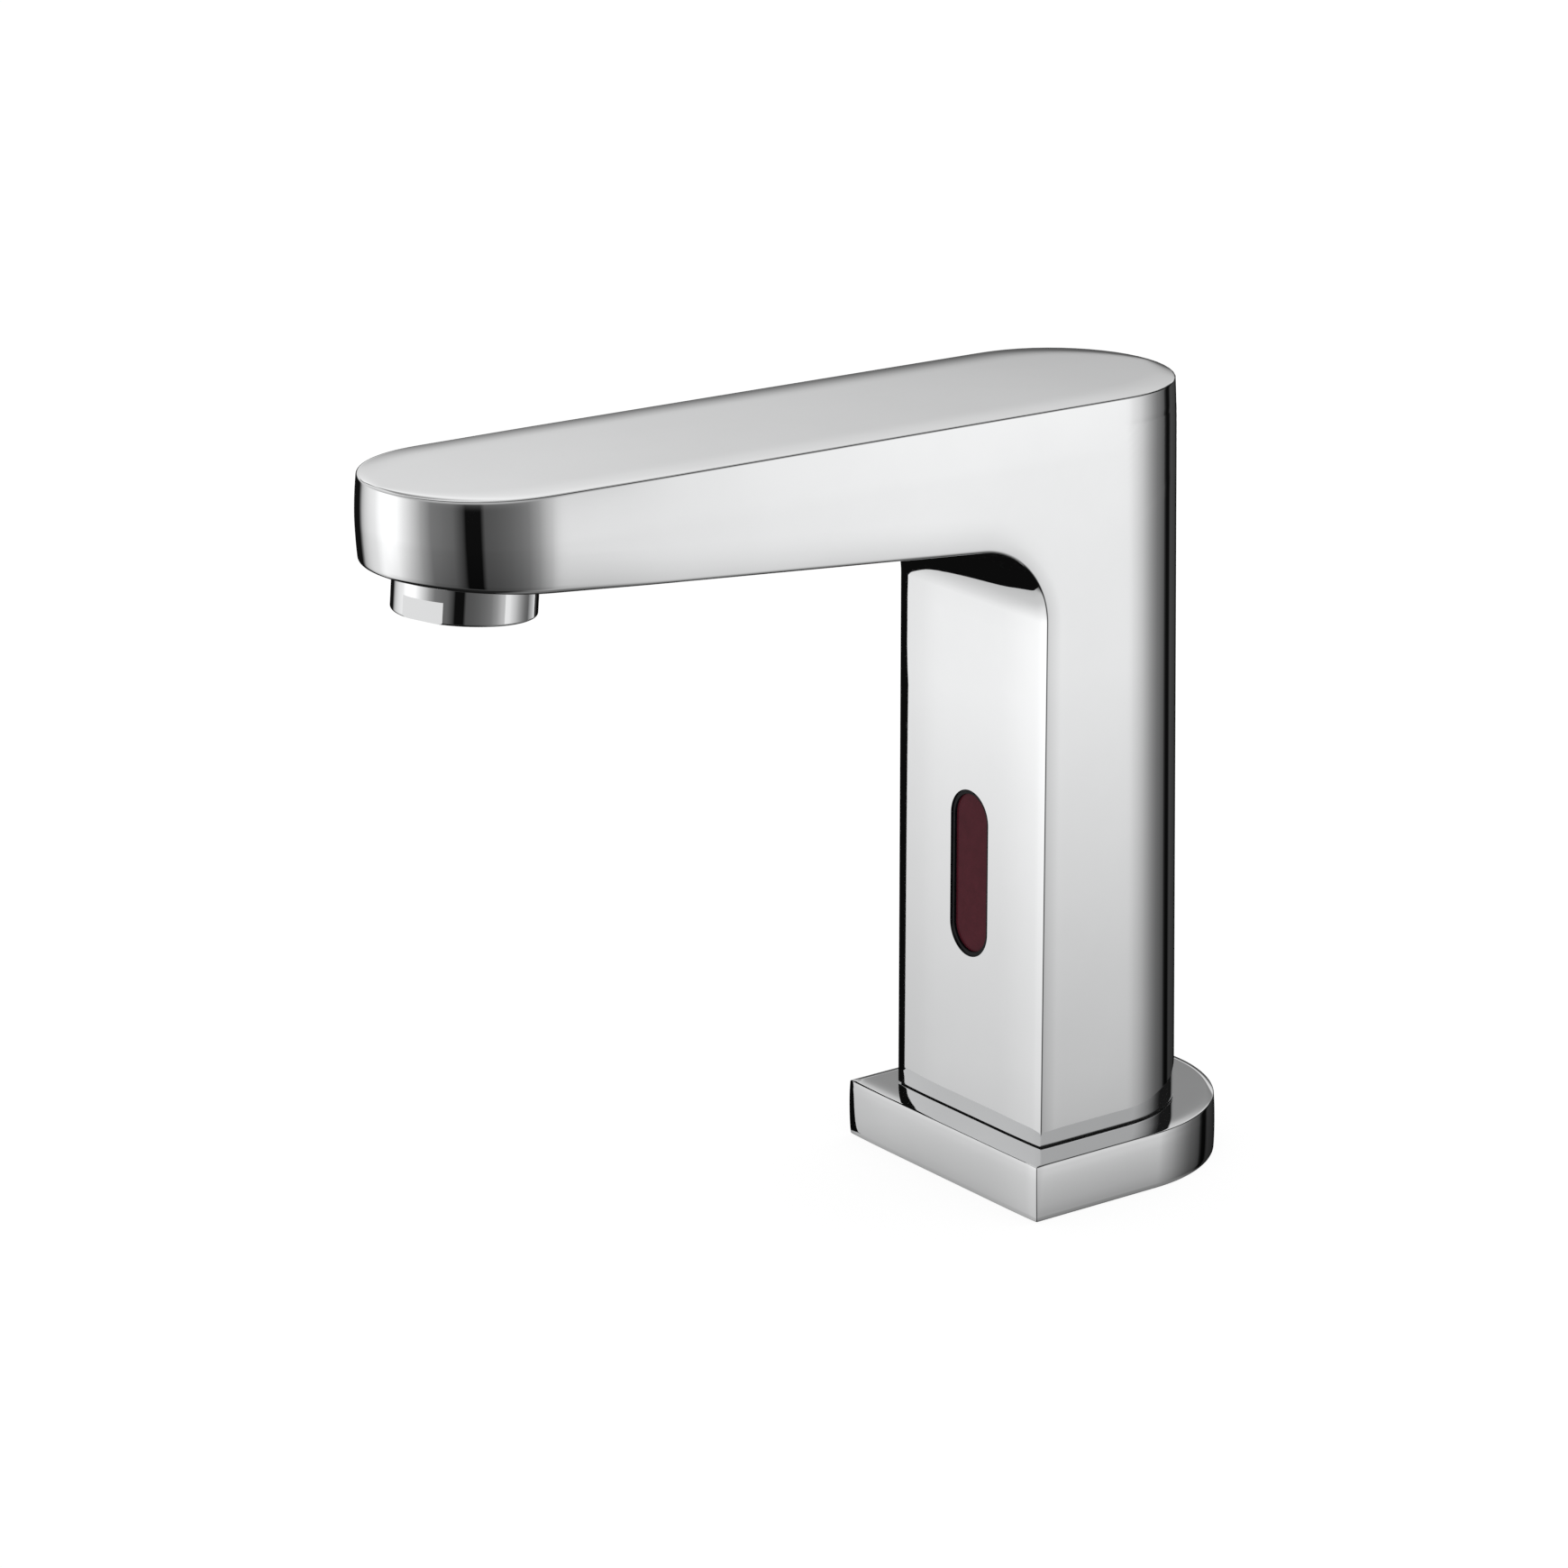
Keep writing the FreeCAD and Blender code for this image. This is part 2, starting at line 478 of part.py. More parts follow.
path = Part.Wire([Part.makeLine(pA, pB), Part.Arc(pB, mB, pC).toShape(), Part.makeLine(pC, pD),
                  Part.Arc(pD, mD, pE).toShape(), Part.makeLine(pE, pF)])
lead = path.makePipeShell([Part.Wire(Part.makeCircle(lead_r, pA, V(0, 0, 1)))], True, True)
nodes["coil_lead"] = lead

# ---------------------------------------------------------------- outlet tube
nodes["outlet_tube"] = one(tube(4.0, 3.2, 31.1, 119.2, tube_x, tube_y))
nodes["outlet_tube_rings"] = Part.makeCompound([Part.makeTorus(4.6, 0.58, V(tube_x, tube_y, 34.65)),
                                                Part.makeTorus(4.6, 0.58, V(tube_x, tube_y, 112.65))])

# ---------------------------------------------------------------- sensor
bez = fuse(pill(pill_r, pill_h, 0.0, 3.6), box(-8.6, 8.6, 3.1, 4.1, -18.2, 18.2))
bez = bez.cut([pill(pill_r - 0.8, pill_h - 0.8, -1.0, 5.0), pill(6.2, 16.6, 3.25, 5.0)])
bez = bez.fuse(pill(pill_r, pill_h, 0.0, 3.6).cut(pill(pill_r - 0.8, pill_h - 0.8, -1.0, 5.0)).common(box(-7, 7, 0, 3.25, -17, 17)))
nodes["sensor_bezel"] = one(sen(bez))
lens = fuse(pill(pill_r - 0.83, pill_h - 0.83, 0.45, 3.3), pill(6.1, 16.5, 3.27, 4.05))
nodes["sensor_window"] = one(sen(lens))
sg = box(-9.0, 9.0, pad_depth + 0.02, 3.08, -18.6, 18.6).cut(pill(pill_r + 0.1, pill_h + 0.1, 0.0, 5.0))
nodes["sensor_gasket"] = one(sen(sg))
hs = box(-8.5, 8.5, 4.12, 11.0, -16.9, 16.9)
he = [e for e in hs.Edges if abs(e.Vertexes[0].Y - e.Vertexes[1].Y) > 1]
hs = hs.makeFillet(1.2, he).cut(box(-7.4, 7.4, 3.0, 9.9, -15.8, 15.8))
nodes["sensor_housing"] = one(sen(hs))
pcb = box(-7.3, 7.3, 8.2, 9.8, -15.7, 15.7)
nodes["sensor_board"] = one(sen(pcb))


def led(z):
    b = ycyl(2.4, 6.3, 8.18, 0, z).fuse(ycyl(2.4, 5.6, 6.4, 0, z))
    return b.fuse(Part.makeSphere(2.4, V(0, 6.6, z)).common(box(-3, 3, 4.15, 6.6, z - 3, z + 3))).fuse(
        ycyl(2.8, 7.2, 8.18, 0, z))


nodes["ir_emitter"] = one(sen(led(8.5)))
rec = box(-2.7, 2.7, 6.2, 8.18, -11.2, -5.8).fuse(ycyl(1.9, 5.0, 6.3, 0, -8.5))
nodes["ir_receiver"] = one(sen(rec))
clip = box(-18.6, 18.6, 11.05, 11.95, -9.0, 9.0).cut([box(-6.0, 6.0, 10.0, 13.0, -5.0, 5.0)])
nodes["sensor_clip"] = one(sen(clip))

# ---------------------------------------------------------------- aerator
col = cyl(aer_r, -aer_drop, -0.06)
ce = [e for e in col.Edges if len(e.Vertexes) == 1 and abs(e.Vertexes[0].Z + aer_drop) < 1e-6]
col = col.makeFillet(0.45, ce)
col = col.fuse(cyl(aer_thread_r, -0.2, 5.9))
col = col.cut([cyl(10.6, -aer_drop + 1.25, 10.0), cyl(9.5, -aer_drop - 1.0, 0.0)])
for s in (0, 180):
    fl = box(-20, 20, -30, -aer_flat, -aer_drop - 1, -aer_drop + aer_flat_h)
    fl.rotate(V(0, 0, 0), V(0, 0, 1), aer_flat_deg + s)
    col = col.cut(fl)
nodes["aerator_collar"] = one(aer(col))

ins = tube(10.35, 8.9, -4.3, 5.95).fuse([tube(11.6, 8.9, 5.95, 6.9)])
grille = cyl(9.2, 2.8, 4.0)
holes = [cyl(0.75, 2.0, 5.0, rr * cos(2 * pi * k / n), rr * sin(2 * pi * k / n))
         for rr, n in ((0.01, 1), (2.4, 6), (4.8, 12), (7.2, 18)) for k in range(n)]
ins = ins.fuse(grille).cut(holes)
nodes["aerator_insert"] = one(aer(ins))
bars = [box(-10.0, 10.0, k * 1.9 - 0.22, k * 1.9 + 0.22, -6.0, -4.7) for k in range(-4, 5)] + \
       [box(k * 1.9 - 0.22, k * 1.9 + 0.22, -10.0, 10.0, -6.0, -4.7) for k in range(-4, 5)]
scr = fuse(*bars).common(cyl(9.4, -6.0, -4.7)).fuse(tube(10.35, 9.0, -6.0, -4.35))
nodes["aerator_screen"] = one(aer(scr))
nodes["aerator_washer"] = one(aer(tube(11.7, 9.1, 6.93, 8.65)))

# ---------------------------------------------------------------- output
os.makedirs("parts", exist_ok=True)
for name, shape in nodes.items():
    solids = shape.Solids
    ok = all(s.isValid() and s.isClosed() for s in solids) and len(solids) > 0
    bb = shape.BoundBox
    print("%-22s solids %d  ok %s  vol %9.1f  box %7.2f..%7.2f %7.2f..%7.2f %7.2f..%7.2f" % (
        name, len(solids), ok, sum(s.Volume for s in solids), bb.XMin, bb.XMax, bb.YMin, bb.YMax, bb.ZMin, bb.ZMax))
    out = solids[0] if len(solids) == 1 else Part.makeCompound(solids)
    out.exportStep("parts/%s.step" % name)
print(len(nodes), "nodes")
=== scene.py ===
import json
import math

import bmesh
import bpy
import numpy as np
from mathutils import Matrix, Vector


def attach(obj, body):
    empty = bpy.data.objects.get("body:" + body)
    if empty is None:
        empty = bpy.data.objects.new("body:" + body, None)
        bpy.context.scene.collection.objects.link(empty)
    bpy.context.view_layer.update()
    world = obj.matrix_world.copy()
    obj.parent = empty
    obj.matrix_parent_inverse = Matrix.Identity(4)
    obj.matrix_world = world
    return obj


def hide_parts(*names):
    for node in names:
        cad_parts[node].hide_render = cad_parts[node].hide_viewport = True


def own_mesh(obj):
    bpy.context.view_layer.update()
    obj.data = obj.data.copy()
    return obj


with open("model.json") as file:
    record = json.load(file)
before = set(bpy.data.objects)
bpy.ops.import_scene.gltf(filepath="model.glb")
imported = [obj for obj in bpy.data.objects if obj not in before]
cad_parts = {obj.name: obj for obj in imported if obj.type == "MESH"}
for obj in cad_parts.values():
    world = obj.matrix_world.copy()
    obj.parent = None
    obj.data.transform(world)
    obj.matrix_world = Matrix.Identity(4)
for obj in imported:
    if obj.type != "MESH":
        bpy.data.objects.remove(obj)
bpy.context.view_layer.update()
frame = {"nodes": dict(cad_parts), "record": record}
nodes = frame["nodes"]
scene = bpy.context.scene
MM = 0.001

# ---------------------------------------------------------------- camera
cam_data = bpy.data.cameras.new("cam")
cam_data.sensor_fit = "HORIZONTAL"
cam_data.sensor_width = 36.0
cam_data.lens = 6702.0 / 1740.0 * 36.0
cam_data.clip_start, cam_data.clip_end = 0.05, 100.0
cam = bpy.data.objects.new("cam", cam_data)
scene.collection.objects.link(cam)
back = Vector((0.7779, -0.54935, 0.30511)).normalized()
up = Vector((-0.23972, 0.1894, 0.95219))
right = up.cross(back).normalized()
up = back.cross(right).normalized()
m = Matrix((right, up, back)).transposed().to_4x4()
m.translation = Vector((0.843544, -0.657514, 0.41481))
cam.matrix_world = m
scene.camera = cam
scene.view_settings.view_transform = "Standard"
scene.view_settings.look = "None"
scene.view_settings.exposure = 0.0
scene.view_settings.gamma = 1.0


# ---------------------------------------------------------------- node helpers
def lin(c):
    return tuple(x / 12.92 if x <= 0.04045 else ((x + 0.055) / 1.055) ** 2.4 for x in c)


class Tree:
    def __init__(self, tree):
        self.t = tree
        self.n = tree.nodes
        self.l = tree.links

    def add(self, kind, **kw):
        node = self.n.new(kind)
        for k, v in kw.items():
            setattr(node, k, v)
        return node

    def link(self, a, b):
        self.l.new(a, b)

    def math(self, op, a, b=None, c=None, clamp=False):
        node = self.add("ShaderNodeMath", operation=op, use_clamp=clamp)
        for i, v in enumerate((a, b, c)):
            if v is None:
                continue
            if isinstance(v, (int, float)):
                node.inputs[i].default_value = v
            else:
                self.link(v, node.inputs[i])
        return node.outputs[0]

    def ramp(self, fac, stops, mode="LINEAR"):
        node = self.add("ShaderNodeValToRGB")
        r = node.color_ramp
        r.interpolation = mode
        while len(r.elements) < len(stops):
            r.elements.new(0.5)
        for e, (p, c) in zip(r.elements, stops):
            e.position = p
            e.color = (c, c, c, 1) if isinstance(c, (int, float)) else (*c, 1)
        self.link(fac, node.inputs[0])
        return node.outputs[0]

    def maprange(self, v, a, b, c, d, smooth=False):
        node = self.add("ShaderNodeMapRange", clamp=True)
        if smooth:
            node.interpolation_type = "SMOOTHSTEP"
        self.link(v, node.inputs[0])
        for i, x in zip((1, 2, 3, 4), (a, b, c, d)):
            node.inputs[i].default_value = x
        return node.outputs[0]

    def mix(self, fac, a, b, kind="MIX"):
        node = self.add("ShaderNodeMix", data_type="RGBA", blend_type=kind)
        for i, v in ((0, fac), (6, a), (7, b)):
            sock = node.inputs[i]
            if isinstance(v, (int, float)):
                sock.default_value = v if i == 0 else (v, v, v, 1)
            elif isinstance(v, tuple):
                sock.default_value = (*v[:3], 1)
            else:
                self.link(v, sock)
        return node.outputs[2]


# ---------------------------------------------------------------- studio surroundings
world = bpy.data.worlds.new("studio")
scene.world = world
world.use_nodes = True
W = Tree(world.node_tree)
W.n.clear()
tc = W.add("ShaderNodeTexCoord")
sep = W.add("ShaderNodeSeparateXYZ")
W.link(tc.outputs["Generated"], sep.inputs[0])
X, Y, Z = sep.outputs
az = W.math("ARCTAN2", X, W.math("MULTIPLY", Y, -1.0))        # 0 towards -Y, + towards +X
el = W.math("MULTIPLY", W.math("ARCSINE", Z), 180 / math.pi)


def ring(rows):
    """brightness round the horizon, from (azimuth, value) rows: one ramp a half"""
    left = [(a, v) for a, v in rows if a <= 0]
    right_ = [(a, v) for a, v in rows if a >= 0]
    l = W.ramp(W.math("MULTIPLY_ADD", az, 1 / math.pi, 1.0), [((a + 180) / 180, v) for a, v in left])
    r = W.ramp(W.math("MULTIPLY", az, 1 / math.pi), [(a / 180, v) for a, v in right_])
    return W.mix(W.math("GREATER_THAN", az, 0.0), l, r)


def rise(rows):
    """brightness by elevation, from (degrees, value) rows between -90 and 90"""
    return W.ramp(W.math("MULTIPLY_ADD", el, 1 / 180, 0.5), [((a + 90) / 180, v) for a, v in rows])


# soft boxes and black flags that stand round the tap
low = ring([
    (-180, 0.03), (-176, 0.004), (-170, 0.004), (-165, 0.055), (-150, 0.04), (-141, 0.01), (-130, 0.006),
    (-88, 0.006), (-84, 0.16), (-80, 0.42), (-74, 0.57), (-68, 0.67), (-63, 0.73), (-58, 0.77), (-55, 0.80),
    (-51, 0.90), (-45, 1.03), (-36, 1.08), (-28, 1.0), (-18, 0.74), (-4, 0.42), (0, 0.32),
    (10, 0.16), (30, 0.11), (39, 0.04), (42, 0.004), (55, 0.004), (59, 0.072), (70, 0.085), (80, 0.105),
    (90, 0.135), (98, 0.17), (108, 0.28), (118, 0.48), (122, 0.66), (126, 0.82), (131, 0.80), (135, 0.70),
    (139, 0.62), (144, 0.53), (149, 0.42), (154, 0.33), (160, 0.24), (166, 0.17), (172, 0.135), (178, 0.09), (180, 0.05)])
high = ring([
    (-180, 0.01), (-156, 0.01), (-151, 0.35), (-145, 0.66), (-132, 0.60), (-127, 0.66), (-118, 0.80), (-95, 0.72), (-75, 0.62), (-40, 0.50),
    (0, 0.45), (60, 0.45), (110, 0.41), (135, 0.40), (152, 0.21), (166, 0.05), (174, 0.01), (180, 0.01)])
deep = ring([
    (-180, 0.25), (-140, 0.05), (-125, 0.01), (-88, 0.02), (-80, 0.50), (-60, 0.70), (-45, 0.75), (-30, 0.50),
    (-10, 0.22), (0, 0.12), (30, 0.05), (90, 0.06), (120, 0.45), (150, 0.35), (180, 0.25)])
under = ring([
    (-180, 0.10), (-120, 0.01), (0, 0.01), (80, 0.02), (110, 0.22), (150, 0.22), (180, 0.10)])
shade = rise([(-90, 0.62), (-26, 0.68), (-22, 0.84), (-17.8, 1.0), (-14, 1.12), (-10, 1.16), (0, 1.16)])
shade_l = rise([(-90, 0.80), (-30, 0.90), (-22, 0.98), (-17.8, 1.0), (-14, 1.08), (-10, 1.12), (0, 1.12)])
left_box = ring([(-180, 0.0), (-100, 0.0), (-88, 1.0), (-48, 1.0), (-36, 0.0), (0, 0.0), (180, 0.0)])
lows = W.mix(1.0, low, W.mix(left_box, shade, shade_l), "MULTIPLY")
c0 = W.mix(W.maprange(el, -46.0, -39.0, 0.0, 1.0, True), under, deep)
c1 = W.mix(W.maprange(el, -36.0, -28.0, 0.0, 1.0, True), c0, lows)
# the wall behind the tap is lit unevenly with height
back_wall = ring([(-180, 0.0), (-165, 0.0), (-150, 1.0), (-100, 1.0), (-80, 0.0), (0, 0.0), (180, 0.0)])
stripe = rise([(-90, 1.0), (4, 0.12), (10, 0.20), (11.5, 0.60), (12.6, 0.88), (14, 1.0), (15.5, 1.08), (17.0, 1.28),
               (17.9, 0.80), (18.6, 0.37), (20.0, 0.38), (22.2, 0.46), (24.0, 0.85), (26, 1.1), (34, 0.9), (90, 0.9)])
highs = W.mix(back_wall, high, W.mix(1.0, high, stripe, "MULTIPLY"))
c2 = W.mix(W.maprange(el, -4.0, 6.0, 0.0, 1.0, True), c1, highs)
# dark ceiling edge round the front and the right
ceil = rise([(-90, 0.0), (30, 0.0), (36, 1.0), (58, 1.0), (70, 0.0), (90, 0.0)])
side = ring([(-180, 0.0), (-50, 0.0), (-30, 0.9), (0, 0.9), (155, 0.9), (175, 0.0), (180, 0.0)])
c3 = W.mix(W.math("MULTIPLY", ceil, side), c2, 0.05)
lp = W.add("ShaderNodeLightPath")
# what the camera and matt surfaces see is the plain white room
seen = W.mix(lp.outputs["Is Glossy Ray"], 1.0, c3)
bg = W.add("ShaderNodeBackground")
W.link(seen, bg.inputs[0])
bg.inputs[1].default_value = 1.0
wo = W.add("ShaderNodeOutputWorld")
W.link(bg.outputs[0], wo.inputs[0])


# ---------------------------------------------------------------- materials
def surface(name):
    mat = bpy.data.materials.new(name)
    mat.use_nodes = True
    T = Tree(mat.node_tree)
    bsdf = next(n for n in T.n if n.type == "BSDF_PRINCIPLED")
    co = T.add("ShaderNodeTexCoord").outputs["Object"]
    return mat, T, bsdf, co


def noise(T, co, scale, detail=2.0, rough=0.5, stretch=None):
    if stretch:
        mp = T.add("ShaderNodeMapping")
        mp.inputs["Scale"].default_value = stretch
        T.link(co, mp.inputs[0])
        co = mp.outputs[0]
    n = T.add("ShaderNodeTexNoise")
    n.inputs["Scale"].default_value = scale
    n.inputs["Detail"].default_value = detail
    n.inputs["Roughness"].default_value = rough
    T.link(co, n.inputs["Vector"])
    return n.outputs[0]


def bump(T, bsdf, height, strength, dist):
    b = T.add("ShaderNodeBump")
    b.inputs["Strength"].default_value = strength
    b.inputs["Distance"].default_value = dist
    T.link(height, b.inputs["Height"])
    T.link(b.outputs[0], bsdf.inputs["Normal"])


def spread(T, fac, c, amount):
    """colour c, a little darker and lighter by fac"""
    a = tuple(max(0.0, x * (1 - amount)) for x in c)
    b = tuple(min(1.0, x * (1 + amount)) for x in c)
    return T.ramp(fac, [(0.3, a), (0.7, b)])


def make(name, color, rough, metallic=0.0, var=0.06, nscale=300.0, rvar=0.25, bstr=0.05, bdist=0.00005, bscale=900.0,
         stretch=None, coat=0.0, spec=0.5, ior=1.5, transmission=0.0):
    mat, T, p, co = surface(name)
    n1 = noise(T, co, nscale, 3.0, 0.55, stretch)
    T.link(spread(T, n1, color, var), p.inputs["Base Color"])
    n2 = noise(T, co, nscale * 1.9, 2.0, 0.5, stretch)
    T.link(T.maprange(n2, 0.3, 0.7, rough * (1 - rvar), rough * (1 + rvar)), p.inputs["Roughness"])
    p.inputs["Metallic"].default_value = metallic
    p.inputs["IOR"].default_value = ior
    p.inputs["Specular IOR Level"].default_value = spec
    p.inputs["Coat Weight"].default_value = coat
    p.inputs["Coat Roughness"].default_value = 0.08
    p.inputs["Transmission Weight"].default_value = transmission
    if bstr:
        bump(T, p, noise(T, co, bscale, 2.0, 0.5, stretch), bstr, bdist)
    return mat


def chrome(name, color):
    """Polished plating: near-mirror, with faint haze and the long soft waviness of a hand-buffed casting."""
    mat, T, p, co = surface(name)
    haze = noise(T, co, 38.0, 4.0, 0.6)
    T.link(spread(T, haze, color, 0.015), p.inputs["Base Color"])
    fine = noise(T, co, 420.0, 3.0, 0.6)
    T.link(T.maprange(fine, 0.35, 0.75, 0.014, 0.036), p.inputs["Roughness"])
    p.inputs["Metallic"].default_value = 1.0
    wave = noise(T, co, 26.0, 1.0, 0.3)
    bump(T, p, wave, 0.06, 0.0004)
    return mat


M = {
    "chrome": chrome("chrome", (0.93, 0.935, 0.94)),
    "chrome_collar": chrome("chrome_collar", (0.92, 0.925, 0.93)),
    "brass": make("brass", (0.60, 0.43, 0.18), 0.28, 1.0, 0.10, 90.0, bstr=0.12, bscale=700.0, stretch=(1, 1, 6)),
    "stainless": make("stainless", (0.58, 0.58, 0.59), 0.25, 1.0, 0.06, 160.0, bstr=0.10, bscale=800.0, stretch=(1, 1, 8)),
    "zinc_steel": make("zinc_steel", (0.55, 0.58, 0.62), 0.35, 1.0, 0.12, 120.0, bstr=0.08, bscale=500.0),
    "black_plastic": make("black_plastic", (0.004, 0.004, 0.005), 0.3, 0.0, 0.3, 600.0, spec=0.12, bstr=0.05, bscale=2500.0),
    "ir_filter": make("ir_filter", (0.062, 0.010, 0.016), 0.16, 0.0, 0.10, 500.0, spec=0.06, coat=0.0, bstr=0.02, bscale=1500.0),
    "clear_plastic": make("clear_plastic", (0.55, 0.62, 0.72), 0.08, 0.0, 0.03, 200.0, bstr=0.0, transmission=0.7),
    "board": make("board", (0.012, 0.13, 0.045), 0.35, 0.0, 0.25, 220.0, bstr=0.15, bscale=600.0, coat=0.3),
    "black_rubber": make("black_rubber", (0.018, 0.018, 0.018), 0.7, 0.0, 0.2, 500.0, spec=0.3, bstr=0.25, bscale=1800.0),
    "white_plastic": make("white_plastic", (0.80, 0.80, 0.77), 0.4, 0.0, 0.03, 300.0, bstr=0.08, bscale=1500.0),
    "grey_plastic": make("grey_plastic", (0.12, 0.125, 0.135), 0.5, 0.0, 0.15, 450.0, bstr=0.2, bscale=1500.0),
    "coil_plastic": make("coil_plastic", (0.010, 0.012, 0.02), 0.45, 0.0, 0.2, 300.0, bstr=0.15, bscale=900.0),
    "lead_sheath": make("lead_sheath", (0.04, 0.04, 0.042), 0.5, 0.0, 0.15, 300.0, bstr=0.15, bscale=1200.0),
}

slot_of = {s["node"]: s["material_slot"] for s in frame["record"]["subparts"]}
for name, ob in nodes.items():
    ob.data.materials.clear()
    ob.data.materials.append(M[slot_of[name]])

# ---------------------------------------------------------------- polished casting
# The skin of the tap: the same solid as the CAD node, with the slight barrel of its walls, its
# rolled edges and the crown of its top, which a buffed casting has.  Millimetres, made metres at the end.
R0, CY0, R1, CY1 = 22.2, 0.0, 22.1, -123.75
COLZ = 11.17
CROWN = 0.10
T0, TR = 150.0, 0.0204
U0, UY0, UR = 125.24, -19.33, 0.0963
FY, FD = -19.15, 0.0185
RC = 15.3
AER_Y = -127.6


def front_y(z):
    return FY - FD * (105.0 - z)


def under_z(y):
    return U0 + UR * (UY0 - y)


def top_z(y):
    return T0 - TR * y


def unit(v):
    v = np.asarray(v, float)
    return v / np.linalg.norm(v, axis=-1, keepdims=True)


class Outline:
    """Closed outline, softened so that its curvature changes gradually, as a function of the run from the front."""

    def __init__(self, pts, sigma):
        pts = np.asarray(pts, float)
        seg = np.linalg.norm(np.roll(pts, -1, 0) - pts, axis=1)
        run = np.concatenate([[0], np.cumsum(seg)])
        n = int(round(run[-1] / 0.05)) // 2 * 2
        q = np.linspace(0, run[-1], n, endpoint=False)
        loop = np.vstack([pts, pts[:1]])
        p = np.stack([np.interp(q, run, loop[:, k]) for k in (0, 1)], 1)
        step = run[-1] / n
        f = np.fft.fftfreq(n, step)
        g = np.exp(-2 * (np.pi * f * sigma) ** 2)
        p = np.stack([np.fft.ifft(np.fft.fft(p[:, k]) * g).real for k in (0, 1)], 1)
        half = p[: n // 2 + 1].copy()
        half[0, 0] = half[-1, 0] = 0.0
        seg = np.linalg.norm(np.diff(half, axis=0), axis=1)
        self.run = np.concatenate([[0], np.cumsum(seg)])
        self.p = half
        t = np.gradient(half, self.run, axis=0)
        t[0] = (1, 0)
        t[-1] = (-1, 0)
        t = unit(t)
        self.n = np.stack([t[:, 1], -t[:, 0]], 1)          # outward, right half
        self.L = self.run[-1]

    def at(self, s):
        s = np.clip(s, 0, self.L)
        x = np.interp(s, self.run, self.p[:, 0])
        y = np.interp(s, self.run, self.p[:, 1])
        nx = np.interp(s, self.run, self.n[:, 0])
        ny = np.interp(s, self.run, self.n[:, 1])
        k = np.sqrt(nx * nx + ny * ny)
        return x, y, nx / k, ny / k

    def s_of_y(self, y):
        return np.interp(y, self.p[:, 1], self.run)


def stadium_points():
    ro, rn = R0, R1
    s = (R0 - R1) / (CY0 - CY1)
    c = math.sqrt(1 - s * s)
    b = math.atan2(c, s)                                    # nose arc, from -Y
    a = math.atan2(c, -s)                                   # back arc, from +Y
    pts = [(rn * math.sin(t), CY1 - rn * math.cos(t)) for t in np.linspace(0, b, 400)]
    pts += [(ro * math.sin(t), CY0 + ro * math.cos(t)) for t in np.linspace(a, 0, 400)]
    left = [(-x, y) for x, y in pts[-2:0:-1]]
    return pts + left


def smoothstep(a, b, x):
    t = np.clip((x - a) / (b - a), 0, 1)
    return t * t * (3 - 2 * t)


def round_in(d, r):
    d = np.clip(d, 0, r)
    return r - np.sqrt(np.maximum(r * r - (r - d) ** 2, 0))


def roll(d, a, length):
    return a * np.maximum(0, 1 - d / length) ** 2


class Grid:
    """Collects patches of quads and joins vertices that fall together."""

    def __init__(self):
        self.v = []
        self.f = []
        self.n = 0

    def patch(self, P, flip=False):
        """P is rows x columns x 3"""
        r, c, _ = P.shape
        self.v.append(P.reshape(-1, 3))
        for i in range(r - 1):
            for j in range(c - 1):
                a = self.n + i * c + j
                q = (a, a + 1, a + c + 1, a + c)
                self.f.append(q[::-1] if flip else q)
        self.n += r * c

    def welded(self, tol=1e-4):
        V = np.vstack(self.v)
        key = np.round(V / tol).astype(np.int64)
        _, first, inv = np.unique(key, axis=0, return_index=True, return_inverse=True)
        inv = inv.reshape(-1)
        W = V[first]
        F = []
        for f in self.f:
            g = [int(inv[i]) for i in f]
            h = [g[i] for i in range(4) if g[i] != g[i - 1]]
            if len(set(h)) >= 3:
                F.append(tuple(h))
        return W, F


def mirror(P):
    Q = P.copy()
    Q[..., 0] *= -1
    return Q


